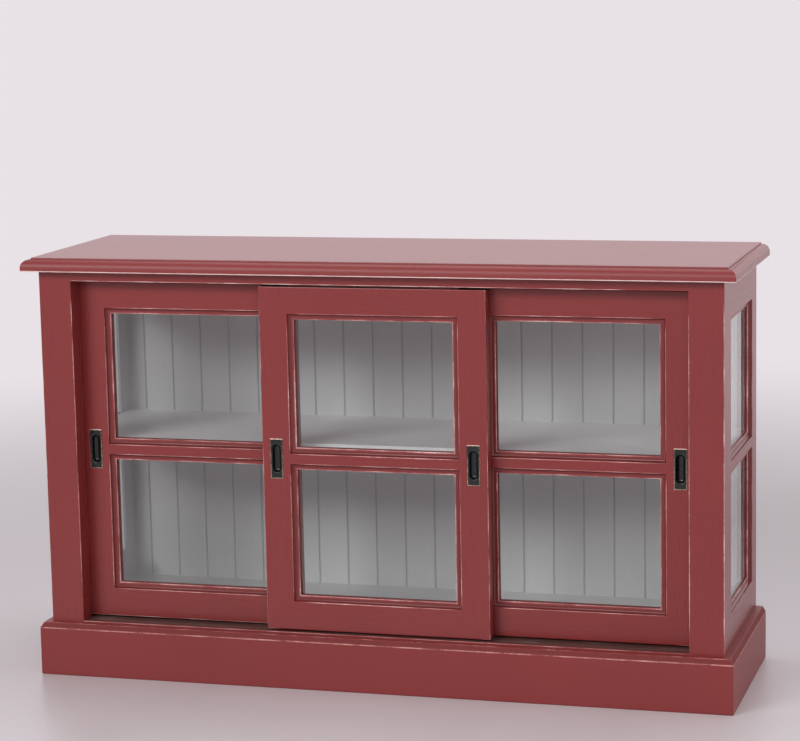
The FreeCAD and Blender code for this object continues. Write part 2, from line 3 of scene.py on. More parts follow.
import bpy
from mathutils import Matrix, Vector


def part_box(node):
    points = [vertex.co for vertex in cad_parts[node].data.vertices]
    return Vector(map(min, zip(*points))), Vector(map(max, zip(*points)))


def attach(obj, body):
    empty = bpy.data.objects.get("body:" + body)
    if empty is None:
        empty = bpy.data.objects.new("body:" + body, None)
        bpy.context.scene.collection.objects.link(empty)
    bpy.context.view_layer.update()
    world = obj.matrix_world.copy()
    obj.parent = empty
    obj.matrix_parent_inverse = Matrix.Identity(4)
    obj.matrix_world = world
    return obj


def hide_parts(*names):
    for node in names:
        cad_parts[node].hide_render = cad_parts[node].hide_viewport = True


bl_info = {
    "name": "Glazed Sideboard",
    "version": (1, 0, 0),
    "blender": (4, 5, 0),
    "location": "3D View > Sidebar > Sideboard",
    "description": "Models and paints the pieces of a glazed sideboard on its packed frame",
    "category": "Add Mesh",
}

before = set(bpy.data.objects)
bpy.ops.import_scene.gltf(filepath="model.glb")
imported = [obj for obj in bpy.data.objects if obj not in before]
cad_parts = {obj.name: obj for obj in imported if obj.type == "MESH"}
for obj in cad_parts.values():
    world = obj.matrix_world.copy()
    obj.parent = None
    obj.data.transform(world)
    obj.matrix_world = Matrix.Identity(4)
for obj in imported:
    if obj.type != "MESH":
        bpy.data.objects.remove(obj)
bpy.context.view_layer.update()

import math

import bmesh
import bpy
from bpy.props import FloatProperty, FloatVectorProperty, IntProperty, PointerProperty
from mathutils import Matrix, Vector

MM = 0.001
X, Y, Z = Vector((1, 0, 0)), Vector((0, 1, 0)), Vector((0, 0, 1))
SIDES = ("left", "right")
DOORS = ("left_door", "middle_door", "right_door")
PULLS = {
    "left_door": ["left_door_pull"],
    "middle_door": ["middle_door_left_pull", "middle_door_right_pull"],
    "right_door": ["right_door_pull"],
}

SHARP = math.radians(25)  # an arris turns by more than this
SMOOTH = math.radians(32)  # faces that turn by less are shaded as one
FACING = 0.9995  # cosine over which two ways are one
TOUCHING, DOUBLES = 0.05 * MM, 0.01 * MM
MARGIN = 1 * MM  # chisels run past faces by this, and places this near an end belong to it
WIDE = 2.4  # wear bands go along the faces that are wider than so many of them

REBATE_ROOM = 2 * MM  # before a closed door in its post
BACK_REBATE, BACK_REBATE_DEPTH = 12 * MM, 14 * MM  # for the back boards in the rear stiles
SEAT_SLACK = 0.2 * MM  # round a pull's plate in its door
ROLLER_ROOM = Vector((2 * MM, 1.5 * MM, 2 * MM))  # round a roller in its mortise
POST_SHELTER = 60 * MM  # the posts are rubbed less this near the lintel and the sill
RAIL_SHELTER, RAIL_FADE = 90 * MM, 50 * MM  # the front rail is rubbed less near its right end
CORNER = 15 * MM  # a door's openings are rubbed less this near their corners
CORNER_SHARES = (0.1, 0.9)  # between these shares of an opening its edges are rubbed in full

# How far the arrises are rubbed: whole paint at 0, the undercoat at 1; below 0 the paint is
# darkened as painted shade
WEAR = {
    "top": {"lower": 1.35, "upper": 0.1},
    "left_post": {"front": 0.7, "return": 0.78, "outside": 0.5, "head": 0.1, "foot": 0.2},
    "right_post": {"front": 0.8, "return": 0.6, "outside": 0.88, "head": 0.1, "foot": 0.35},
    "side_frame": {"outside": 0.6, "inside": 0.25},
    # On the plinth the slope's value below 0 darkens the chamfer as painted shade, and the lower
    # line is rubbed pale partly as painted highlight
    "plinth_front": {"upper": 0.5, "lower": 0.68, "slope": -0.3},
    "plinth_sides": {"upper": 0.3, "lower": 0.9, "slope": -0.3},
    "sill": {"front": 0.62, "back": 0.2},
    "front_rail": {"front": 0.98, "back": 0.4, "sheltered": 0.3},
    "door": {
        "back": 0.3, "through": 0.4, "left_edge": 0.58, "right_edge": 0.46, "low_edge": 0.72,
        "head": 0.1, "foot": 0.2, "left_door_foot": 0.85,
        "upright": 0.72, "low_upright": 0.78, "level": 0.82, "corner": 0.35},
    "bead": {"flat": 0.5, "chamfer": 0.2},
    # The pull's top rim is rubbed most, partly as painted highlight
    "pull": {"top": 1.15, "bottom": 0.62, "sides": 0.44, "lip": 0.15},
}

# The moulding's line down to the glass, in shares of its size: a cove darkened as painted shade,
# then a fillet rubbed pale by the glass, partly as painted highlight
COVE_START, COVE_START_WEAR = 0.08, 0.3
# The cove's value below 0 darkens it as painted shade
COVE, COVE_CUTS, COVE_SHADE = 0.56, 7, -0.35
# The fillet's high wear by the glass is real rubbing, partly painted highlight
FILLET = [(0.64, 0.61, -0.05), (0.78, 0.60, 0.3), (0.92, 0.615, 0.75), (0.985, 0.67, 0.9),
          (1.0, 0.76, 0.6), (1.0, 1.0, 0.0)]

# Roughness of the red paint
SATIN, SCUFFED, MATT = 0.28, 0.46, 0.75

# Each lamp's place, what it is turned to, and its width and height
LAMPS = {
    "key": ((-3.4, -6.4, 3.8), (0, 0, 0.45), (4.6, 1.8)),
    "fill": ((0.95, -3.1, 2.0), (0.3, 0, 0.45), (2.2, 1.2)),
    "side": ((3.6, -0.55, 1.8), (0.75, 0, 0.45), (1.8, 1.4)),
    "overhead": ((0, 0.5, 3.2), (0, 0.1, 0.8), (3.0, 1.4)),
}
FLOOR_RADIUS = 60
FLOOR_FADE = (1.3, 4.5)  # from where to where the floor turns into the surround


def shade(name, description, default):
    return FloatVectorProperty(name=name, description=description, subtype="COLOR", size=3,
                               min=0, max=1, default=default)


def length(name, description, millimetres):
    return FloatProperty(name=name, description=description, unit="LENGTH", min=0,
                         default=millimetres * MM, precision=5)


def strength(name, description, default):
    return FloatProperty(name=name, description=description, min=0, default=default)


def power(name, description, watts):
    return FloatProperty(name=name, description=description, subtype="POWER", min=0, default=watts)


class SideboardPaint(bpy.types.PropertyGroup):
    """Colours and wear of the finishes."""

    red: shade("Red", "Top coat outside", (0.246, 0.0285, 0.0280))
    red_deep: shade("Deep red", "Top coat where it lies thicker", (0.226, 0.0255, 0.0250))
    primer: shade("Primer", "Warm first coat that shows along a rubbed arris", (0.56, 0.26, 0.245))
    undercoat: shade("Undercoat", "Pale coat where an arris is rubbed most", (0.90, 0.68, 0.66))
    grey: shade("Grey", "Paint on the boards and frames inside", (0.59, 0.58, 0.595))
    # The shelf is the grey paint made lighter as painted light, for the light that falls on it from
    # above
    shelf_grey: shade("Shelf grey", "Paint on the shelf", (0.87, 0.86, 0.875))
    track: shade("Track", "Bare board that the doors run on", (0.10, 0.04, 0.034))
    bronze: shade("Bronze", "Patina of the flush pulls", (0.008, 0.010, 0.009))
    # Rubbed pale metal, partly painted highlight on the top edges of the plates
    bronze_worn_and_highlight: shade("Worn and highlit bronze", "Handled edges of the pulls", (0.93, 0.61, 0.49))
    # This factor also scales the painted shade below 0
    wear: FloatProperty(name="Wear", description="How far the arrises are rubbed through",
                        subtype="FACTOR", min=0, max=2, default=1.0)


class SideboardJoinery(bpy.types.PropertyGroup):
    """Small sizes that the frame's boxes don't give."""

    arris: length("Arris", "Radius that the arrises are rubbed to", 1.0)
    band: length("Wear band", "How far wear can reach from an arris", 1.3)
    ovolo_width: length("Ovolo width", "Width of the curve on the top's edge", 16.5)
    ovolo_height: length("Ovolo height", "Height of the curve on the top's edge", 15.5)
    ovolo_ledge: length("Ovolo ledge", "Flat between the curve and the step", 1.5)
    ovolo_step: length("Ovolo step", "Rise of the step at the top", 3.2)
    ovolo_cuts: IntProperty(name="Ovolo cuts", description="Facets along the top's curve",
                            min=2, default=12)
    moulding: length("Moulding", "Width and depth of the glazing moulding", 12)
    pane: length("Pane", "Thickness of the glass", 4)
    bead_chamfer: length("Bead chamfer", "Chamfer of the beads behind the glass", 4)
    plinth_chamfer_width: length("Plinth chamfer width", "Chamfer on the plinth's top edge", 7)
    plinth_chamfer_height: length("Plinth chamfer height", "Chamfer on the plinth's top edge", 11)
    plinth_foot: length("Plinth foot", "Rounding of the plinth's edge on the floor", 2.5)
    post_rebate: length("Post rebate", "Step that a closed door enters", 6)
    sill_lip: length("Sill lip", "Strip of the sill before the track", 8)
    tongue: length("Tongue", "Thickness of the door's guide tongue", 8)
    plate: length("Pull plate", "Thickness of a pull's plate", 1.8)
    cup_width: length("Cup width", "Width of a pull's cup", 17)
    cup_height: length("Cup height", "Height of a pull's cup", 58)
    cup_wall: length("Cup wall", "Wall of a pull's cup", 1.2)
    cup_round: length("Cup round", "Rounding of the cup's floor", 7)
    cup_lip: length("Cup lip", "Rounding of the cup's rim", 1.6)
    plate_slope: length("Plate slope", "Width of the slope round a pull's plate", 1.6)
    plate_rise: length("Plate rise", "Rise of the slope round a pull's plate", 0.5)
    board_pitch: length("Back board pitch", "Width of a board at the back", 67)
    board_joint: length("Back board joint", "Half the width of a dusty joint at the back", 2.2)


class SideboardStage(bpy.types.PropertyGroup):
    """Floor, light and camera."""

    floor: shade("Floor", "Colour of the floor", (0.77, 0.705, 0.735))
    surround: shade("Surround", "Pale colour all around", (0.81, 0.76, 0.795))
    ambient: strength("Ambient", "Strength of the even light", 0.11)
    mirrored_front: strength("Mirrored front", "Surround's strength in reflections, in front", 0.42)
    mirrored_back: strength("Mirrored back", "Surround's strength in reflections, behind", 1.25)
    key: power("Key lamp", "Power of the large lamp", 315)
    fill: power("Fill lamp", "Power of the weaker lamp", 27)
    side: power("Side lamp", "Power of the lamp on the right", 33)
    overhead: power("Overhead lamp", "Power of the lamp above", 33)
    lens: FloatProperty(name="Lens", description="Focal length of the camera",
                        subtype="DISTANCE_CAMERA", min=1, default=117.8)
    camera_place: FloatVectorProperty(
        name="Camera place", description="Where the camera stands",
        subtype="TRANSLATION", size=3, default=(1.5222, -5.2192, 1.5142))
    camera_turn: FloatVectorProperty(
        name="Camera turn", description="Yaw to the left, pitch down and roll of the camera",
        subtype="EULER", size=3, default=[math.radians(a) for a in (16.208, 9.117, -1.167)])


class SideboardSettings(bpy.types.PropertyGroup):
    """All that a user would change."""

    paint: PointerProperty(type=SideboardPaint)
    joinery: PointerProperty(type=SideboardJoinery)
    stage: PointerProperty(type=SideboardStage)


def settings():
    return bpy.context.scene.sideboard


def rim():
    """How far the round of a rubbed arris reaches."""
    return 2 * settings().joinery.arris


# Modelling bench


def clear_selection():
    if bpy.context.object and bpy.context.object.mode != "OBJECT":
        bpy.ops.object.mode_set(mode="OBJECT")
    bpy.ops.object.select_all(action="DESELECT")


def take_up(*pieces):
    """Selects these pieces alone; the first is the active one."""
    clear_selection()
    for piece in pieces:
        piece.select_set(True)
    bpy.context.view_layer.objects.active = pieces[0]


def named(piece, name):
    piece.name = piece.data.name = name
    return piece


def settle(piece):
    """Puts a piece's place, turn and scale into its mesh."""
    take_up(piece)
    bpy.ops.object.transform_apply(location=True, rotation=True, scale=True)
    # The wear attribute also carries painted shade below 0, and on some arrises partly painted
    # highlight
    if "wear" not in piece.data.attributes:
        piece.data.attributes.new("wear", "FLOAT", "POINT")
    return piece


def block(name, low, high):
    """A cube at its size and place, to start a piece from."""
    clear_selection()
    low, high = Vector(low), Vector(high)
    bpy.ops.mesh.primitive_cube_add(size=1, location=(low + high) / 2)
    piece = bpy.context.object
    piece.scale = high - low
    return settle(named(piece, name))


def move_into_place(piece, corner, turn=0):
    piece.location = corner
    piece.rotation_euler = (0, 0, turn)
    return settle(piece)


def copy_piece(piece, name):
    """A copy with its own mesh."""
    take_up(piece)
    bpy.ops.object.duplicate(linked=False)
    return named(bpy.context.object, name)


def join(pieces, name):
    take_up(*pieces)
    bpy.ops.object.join()
    return named(bpy.context.object, name)


def combine(piece, tool, operation):
    """Cuts a tool from a piece, or adds it, and throws the tool away."""
    take_up(piece)
    modifier = piece.modifiers.new("combine", "BOOLEAN")
    modifier.operation = operation
    modifier.solver = "EXACT"
    modifier.object = tool
    bpy.ops.object.modifier_apply(modifier=modifier.name)
    bpy.data.objects.remove(tool, do_unlink=True)


def carve(piece, low, high):
    combine(piece, block("chisel", low, high), "DIFFERENCE")


def is_near(value, target):
    return abs(value - target) < TOUCHING


class EditMode:
    """Edit mode on one piece, with ways to pick its faces and edges by their place."""

    def __init__(self, piece):
        self.piece = piece

    def __enter__(self):
        take_up(self.piece)
        bpy.ops.object.mode_set(mode="EDIT")
        return self

    def __exit__(self, *_):
        bpy.ops.object.mode_set(mode="OBJECT")

    def pick_all(self):
        bpy.ops.mesh.select_all(action="SELECT")

    def pick(self, kind, test):
        """Selects the faces or edges that pass a test, and says how many there are."""
        bpy.ops.mesh.select_mode(type=kind)
        bpy.ops.mesh.select_all(action="DESELECT")
        mesh = bmesh.from_edit_mesh(self.piece.data)
        chosen = [item for item in (mesh.faces if kind == "FACE" else mesh.edges) if test(item)]
        for item in chosen:
            item.select_set(True)
        mesh.select_flush_mode()
        bmesh.update_edit_mesh(self.piece.data)
        return len(chosen)

    def pick_facing(self, way):
        self.pick("FACE", lambda f: f.normal.dot(way) > FACING)

    def inset(self, width, rise=0.0):
        bpy.ops.mesh.inset(thickness=width, depth=rise, use_boundary=True, use_even_offset=True)

    def extrude(self, move):
        bpy.ops.mesh.extrude_region_move(TRANSFORM_OT_translate={"value": tuple(move)})

    def bevel(self, radius, segments, **options):
        bpy.ops.mesh.bevel(offset=radius, segments=segments, profile=0.5, affect="EDGES", **options)

    def drop_faces(self):
        bpy.ops.mesh.delete(type="FACE")

    def cut(self, place, way, **options):
        self.pick_all()
        bpy.ops.mesh.bisect(plane_co=tuple(place), plane_no=tuple(way), **options)

    def cut_at(self, axis, *levels):
        for level in levels:
            self.cut(level * axis, axis)

    def rub(self, rule):
        """Sets the wear of what is selected: a number, or a rule that reads the place."""
        mesh = bmesh.from_edit_mesh(self.piece.data)
        wear = mesh.verts.layers.float["wear"]
        for vert in mesh.verts:
            if vert.select:
                vert[wear] = rule(vert.co) if callable(rule) else rule
        bmesh.update_edit_mesh(self.piece.data)

    def rub_arrises(self, at_arris, wear, radius, segments=2):
        """Rounds the sharp edges whose middles pass a test, and rubs them."""
        def chosen(edge):
            if len(edge.link_faces) != 2 or edge.calc_face_angle(0) < SHARP:
                return False
            return at_arris((edge.verts[0].co + edge.verts[1].co) / 2)
        if self.pick("EDGE", chosen):
            self.bevel(radius, segments, clamp_overlap=True)
            self.rub(wear)

    def keep_wear_near_arrises(self, flat_wear=None):
        """Gives each wide flat side a band along its edges, with the flat's own wear inside it."""
        band = settings().joinery.band

        def wide(face):
            return face.calc_area() / max(e.calc_length() for e in face.edges) > WIDE * band
        mesh = bmesh.from_edit_mesh(self.piece.data)
        for way in sorted({tuple(round(c, 2) for c in f.normal) for f in mesh.faces if wide(f)}):
            way = Vector(way).normalized()
            if self.pick("FACE", lambda f: f.normal.dot(way) > FACING and wide(f)):
                self.inset(band)
                self.rub(flat_wear(way) if flat_wear else 0.0)

    def close_up(self):
        """Merges doubles and turns all faces outwards."""
        self.pick_all()
        bpy.ops.mesh.remove_doubles(threshold=DOUBLES)
        self.pick_all()
        bpy.ops.mesh.normals_make_consistent(inside=False)


def rub_piece(piece, at_arris, wear, flat_wear=None):
    """Rounds and rubs the chosen arrises of a piece, and keeps the wear near them."""
    with EditMode(piece) as edit:
        edit.rub_arrises(at_arris, wear, settings().joinery.arris)
        edit.keep_wear_near_arrises(flat_wear)


def paint_faces(piece, finishes, finish_of=None):
    """Gives a piece its finishes, each face by its centre and normal."""
    for coat in finishes:
        piece.data.materials.append(coat)
    if finish_of:
        for polygon in piece.data.polygons:
            polygon.material_index = finish_of(polygon.center, polygon.normal)


def hand_over(piece, nodes, finishes=(), finish_of=None, body="carcass"):
    """Paints and smooths a piece, and puts it in the place of its nodes."""
    paint_faces(piece, finishes, finish_of)
    take_up(piece)
    bpy.ops.object.shade_smooth_by_angle(angle=SMOOTH)
    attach(piece, body)
    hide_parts(*nodes)


# Finishes


class Finish:
    """A material's node tree, with short ways to add and join its nodes."""

    def __init__(self, name):
        self.material = bpy.data.materials.new(name)
        self.material.use_nodes = True
        self.tree = self.material.node_tree
        self.shader = self.tree.nodes["Principled BSDF"]
        self.output = self.tree.nodes["Material Output"]
        self.place = self.add("ShaderNodeTexCoord").outputs["Object"]

    def add(self, kind, inputs=None, **options):
        node = self.tree.nodes.new(kind)
        for name, value in options.items():
            setattr(node, name, value)
        for key, value in (inputs or {}).items():
            self.feed(node.inputs[key], value)
        return node

    def feed(self, socket, value):
        if isinstance(value, bpy.types.NodeSocket):
            self.tree.links.new(value, socket)
        else:
            socket.default_value = value

    def set(self, **values):
        for name, value in values.items():
            self.feed(self.shader.inputs[name.replace("_", " ").title()], value)

    def wear(self):
        return self.add("ShaderNodeAttribute", attribute_name="wear").outputs["Fac"]

    def noise(self, scale, detail, stretch=None):
        """Soft patches, mostly between 0.3 and 0.7, so many to the metre."""
        place = self.place
        if stretch:
            place = self.add("ShaderNodeMapping", {"Vector": place, "Scale": stretch}).outputs[0]
        return self.add("ShaderNodeTexNoise", {
            "Vector": place, "Scale": scale, "Detail": detail}).outputs["Fac"]

    def math(self, operation, *values):
        return self.add("ShaderNodeMath", dict(enumerate(values)), operation=operation).outputs[0]

    def swing(self, socket, amount):
        """A pattern from 0 to 1, turned into one that swings by an amount about zero."""
        return self.math("MULTIPLY", self.math("SUBTRACT", socket, 0.5), amount)

    def remap(self, socket, low, high, to_low=0.0, to_high=1.0, **options):
        return self.add("ShaderNodeMapRange", {
            "Value": socket, "From Min": low, "From Max": high, "To Min": to_low,
            "To Max": to_high}, **options).outputs["Result"]

    def spread(self, noise, to_low=0.0, to_high=1.0):
        """A noise, spread over a whole range."""
        return self.remap(noise, 0.3, 0.7, to_low, to_high)

    def blend(self, factor, first, second):
        inputs = {0: factor, 6: opaque(first), 7: opaque(second)}
        return self.add("ShaderNodeMix", inputs, data_type="RGBA").outputs[2]

    def bump(self, height, depth, amount):
        node = self.add("ShaderNodeBump", {
            "Height": height, "Distance": depth, "Strength": amount})
        self.feed(self.shader.inputs["Normal"], node.outputs["Normal"])

    def show_mix(self, factor, first, second):
        """Puts a mix of two shaders out."""
        mixed = self.add("ShaderNodeMixShader", {
            0: factor, 1: first.outputs[0], 2: second.outputs[0]})
        self.feed(self.output.inputs["Surface"], mixed.outputs[0])


def opaque(value):
    return value if isinstance(value, bpy.types.NodeSocket) else (*value, 1.0)


def tint(colour, share):
    return [share * c for c in colour]


def finish(name, make, *values):
    """Makes a finish the first time that it is asked for."""
    return bpy.data.materials.get(name) or make(name, *values)


def brush_stretch(along):
    """Long thin brush strokes along one axis."""
    stretch = [1.0, 1.0, 1.0]
    stretch[along] = 0.02
    return stretch


def make_red_paint(name, along, dullness):
    """Brushed red, rubbed through to a pale undercoat where the wear is high; below 0 it is
    darkened towards a deep red as painted shade.
    """
    look = settings().paint
    paint = Finish(name)
    strokes = paint.noise(420.0, 3.0, brush_stretch(along))
    broad = paint.noise(3.5, 3.0)
    cast = paint.spread(paint.math("ADD", paint.swing(strokes, 0.12), broad))
    worn = paint.math("MULTIPLY", paint.wear(), look.wear)
    # Painted shade: wear below 0 darkens the coat towards a deep red, in the moulding's cove and on
    # the plinth's chamfer
    painted_shade = paint.remap(worn, -0.1, -0.6)
    coat = paint.blend(painted_shade, paint.blend(cast, look.red_deep, look.red), tint(look.red_deep, 0.4))
    patches = paint.swing(paint.noise(19.0, 3.0), 1.5)
    grains = paint.swing(paint.noise(260.0, 2.0), 0.6)
    level = paint.math("ADD", worn, paint.math("ADD", patches, grains))
    rubbed = paint.remap(level, 0.45, 0.80)
    bare = paint.remap(level, 0.86, 1.16)
    coloured = paint.blend(bare, paint.blend(rubbed, coat, look.primer), look.undercoat)
    sheen = paint.math("ADD", paint.spread(strokes, dullness - 0.01, dullness + 0.02),
                       paint.math("MULTIPLY", rubbed, 0.3))
    paint.set(base_color=coloured, roughness=sheen)
    surface = paint.math("SUBTRACT", paint.math("MULTIPLY", strokes, 0.08), rubbed)
    paint.bump(surface, 0.12 * MM, 0.6)
    return paint.material


def make_grey_paint(name, along, grey, joints=None):
    """Satin grey paint, brushed along the boards, a little dull in places, dusty in the joints."""
    paint = Finish(name)
    strokes = paint.noise(380.0, 3.0, brush_stretch(along))
    broad = paint.noise(2.4, 2.0)
    cast = paint.spread(paint.math("ADD", paint.swing(strokes, 0.4), broad))
    colour = paint.blend(cast, tint(grey, 0.9), grey)
    if joints:
        start, pitch, width = joints
        across = paint.add("ShaderNodeSeparateXYZ", {0: paint.place}).outputs["X"]
        to_joint = paint.math("PINGPONG", paint.math("SUBTRACT", across, start), pitch / 2)
        dust = paint.remap(to_joint, 0.25 * width, width, 0.35, 0.0)
        colour = paint.blend(dust, colour, tint(grey, 0.25))
    paint.set(base_color=colour, roughness=paint.spread(strokes, 0.36, 0.44))
    paint.bump(strokes, 0.06 * MM, 0.5)
    return paint.material


def make_track(name):
    """Bare dark board, rubbed along the run of the doors and dusty between."""
    look = settings().paint
    wood = Finish(name)
    grain = wood.noise(330.0, 4.0, brush_stretch(0))
    dust = wood.remap(wood.noise(34.0, 3.0, (0.3, 1, 1)), 0.5, 0.75)
    bare = wood.blend(grain, tint(look.track, 0.6), tint(look.track, 1.5))
    dusty = wood.blend(wood.math("MULTIPLY", dust, 0.35), bare, (0.28, 0.24, 0.22))
    wood.set(base_color=dusty, roughness=wood.remap(dust, 0, 1, 0.55, 0.8))
    wood.bump(grain, 0.15 * MM, 0.5)
    return wood.material


def make_bronze(name):
    """Dark patina rubbed towards pale metal where the wear is high; the pale metal is partly
    painted highlight, most on the plate's top edge.
    """
    look = settings().paint
    metal = Finish(name)
    clouds = metal.noise(140.0, 4.0)
    rubbed_and_highlit = metal.remap(metal.math("ADD", metal.wear(), metal.swing(clouds, 0.5)), 0.35, 1.05)
    patina = metal.blend(clouds, tint(look.bronze, 0.7), tint(look.bronze, 1.4))
    metal.set(base_color=metal.blend(rubbed_and_highlit, patina, look.bronze_worn_and_highlight), metallic=0.5,
              roughness=metal.spread(clouds, 0.22, 0.32), coat_weight=0.4, coat_roughness=0.08)
    metal.bump(clouds, 0.05 * MM, 0.4)
    return metal.material


def make_glass(name):
    """A clear pane that mirrors more towards grazing sight, with a trace of dust."""
    glass = Finish(name)
    facing = glass.add("ShaderNodeLayerWeight", {"Blend": 0.5}).outputs["Facing"]
    grazing = glass.math("POWER", facing, 5.0)
    mirror = glass.math("ADD", glass.math("MULTIPLY", grazing, 0.95), 0.035)
    smears = glass.remap(glass.noise(9.0, 4.0, (1, 1, 0.5)), 0.35, 0.75, 0.0, 0.05)
    clear = glass.add("ShaderNodeBsdfTransparent", {"Color": (0.965, 0.975, 0.97, 1)})
    gloss = glass.add("ShaderNodeBsdfGlossy", {"Color": (1, 1, 1, 1), "Roughness": smears})
    glass.tree.nodes.remove(glass.shader)
    glass.show_mix(mirror, clear, gloss)
    return glass.material


def make_nylon(name):
    """Dark moulded wheel, dusty on its tread."""
    nylon = Finish(name)
    mottle = nylon.noise(220.0, 3.0)
    nylon.set(base_color=nylon.blend(mottle, (0.030, 0.027, 0.025), (0.060, 0.053, 0.048)),
              roughness=nylon.spread(mottle, 0.4, 0.55))
    nylon.bump(mottle, 0.03 * MM, 0.4)
    return nylon.material


def make_pin_steel(name):
    """Plain turned steel."""
    steel = Finish(name)
    turning = steel.noise(1800.0, 2.0, (0.1, 1, 0.1))
    steel.set(base_color=steel.blend(turning, (0.36, 0.36, 0.37), (0.5, 0.5, 0.51)), metallic=1.0,
              roughness=steel.spread(turning, 0.3, 0.45))
    return steel.material


def red_along(axis):
    """Red paint brushed along X, Y or Z."""
    return finish(f"red_paint_{'xyz'[axis]}", make_red_paint, axis, SATIN)


def scuffed_red_along(axis):
    """The same paint, duller where it is knocked: on the plinth and the top's front edge."""
    return finish(f"scuffed_red_{'xyz'[axis]}", make_red_paint, axis, SCUFFED)


def matt_red():
    """The thin dull coat on the beads behind the glass and the plinth's chamfer."""
    return finish("matt_red", make_red_paint, 2, MATT)


def grey_along(axis):
    return finish(f"grey_paint_{'xyz'[axis]}", make_grey_paint, axis, settings().paint.grey)


# Pieces


def make_top():
    """The top board: its edge is drawn up through ovolo, ledge and step, and cut at the back."""
    sizes = settings().joinery
    worn = WEAR["top"]
    low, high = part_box("top_board")
    wide, tall = sizes.ovolo_width, sizes.ovolo_height
    piece = block("cabinet_top", low,
                  (high.x, 2 * high.y - low.y, high.z - sizes.ovolo_step - tall))
    radius = (wide ** 2 + tall ** 2) / (2 * tall)
    steepest = math.asin(wide / radius)
    angles = [steepest * (1 - n / sizes.ovolo_cuts) for n in range(sizes.ovolo_cuts + 1)]
    with EditMode(piece) as edit:
        edit.pick_facing(Z)
        for before, after in zip(angles, angles[1:]):
            edit.inset(radius * (math.sin(before) - math.sin(after)),
                       radius * (math.cos(after) - math.cos(before)))
        edit.inset(sizes.ovolo_ledge)
        edit.extrude((0, 0, sizes.ovolo_step))
        edit.cut((0, high.y, 0), Y, clear_outer=True, use_fill=True)
        edit.close_up()

    def at_level(level):
        return lambda p: is_near(p.z, level) and not is_near(p.y, high.y)
    with EditMode(piece) as edit:
        edit.rub_arrises(at_level(low.z), worn["lower"], 1.5 * sizes.arris, 3)
        edit.rub_arrises(at_level(high.z), worn["upper"], 0.8 * sizes.arris)
        edit.keep_wear_near_arrises()
    edge = wide + sizes.ovolo_ledge

    def finish_of(c, n):
        if is_near(c.z, high.z) or (abs(c.x) < high.x - edge and c.y > low.y + edge):
            return 0
        return 1 if high.x - abs(c.x) < c.y - low.y else 2
    hand_over(piece, ["top_board"], [red_along(0), red_along(1), scuffed_red_along(0)], finish_of)


def make_post(side):
    """A corner post: a front part, and a rear part drawn back from it for the closing rebate."""
    rebate = settings().joinery.post_rebate
    worn = WEAR[f"{side}_post"]
    node = f"{side}_front_post"
    low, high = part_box(node)
    piece = block(f"{side}_post", low, high)
    inner = high.x if side == "left" else low.x
    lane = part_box(f"{side}_door_left_stile")[0].y
    carve(piece, (inner - rebate, lane - REBATE_ROOM, low.z - MARGIN),
          (inner + rebate, high.y + MARGIN, high.z + MARGIN))
    lintel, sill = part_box("front_top_rail")[0].z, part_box("sill")[1].z
    with EditMode(piece) as edit:
        edit.cut_at(Z, lintel, lintel - POST_SHELTER, sill + POST_SHELTER, sill)

    def at_inside(p):
        return abs(p.x - inner) < 2 * rebate

    def at_arris(p):
        if not low.z + MARGIN < p.z < high.z - MARGIN or p.y > high.y - MARGIN:
            return False
        return sill < p.z < lintel or not at_inside(p)

    def wear(p):
        if p.z > lintel - POST_SHELTER / 2:
            return worn["head"]
        if p.z < sill + POST_SHELTER / 2:
            return worn["foot"]
        if not at_inside(p):
            return worn["outside"]
        return worn["front"] if p.y < low.y + rim() else worn["return"]
    rub_piece(piece, at_arris, wear)
    hand_over(piece, [node], [red_along(2), grey_along(2)],
              lambda c, n: int(is_near(c.y, high.y)))


def panel(name, width, height, thickness, gaps):
    """A flat frame that faces -Y: a plane is cut into cells, loses its gaps and is drawn back."""
    clear_selection()
    bpy.ops.mesh.primitive_plane_add(size=1, location=(width / 2, 0, height / 2),
                                     rotation=(math.pi / 2, 0, 0))
    piece = named(bpy.context.object, name)
    piece.scale = (width, height, 1)
    settle(piece)

    def in_gap(face):
        c = face.calc_center_median()
        return any(x0 < c.x < x1 and z0 < c.z < z1 for x0, z0, x1, z1 in gaps)
    with EditMode(piece) as edit:
        edit.cut_at(X, *sorted({x for gap in gaps for x in gap[::2] if 0 < x < width}))
        edit.cut_at(Z, *sorted({z for gap in gaps for z in gap[1::2] if 0 < z < height}))
        edit.pick("FACE", in_gap)
        edit.drop_faces()
        edit.pick_all()
        edit.extrude((0, thickness, 0))
        edit.close_up()
    return piece


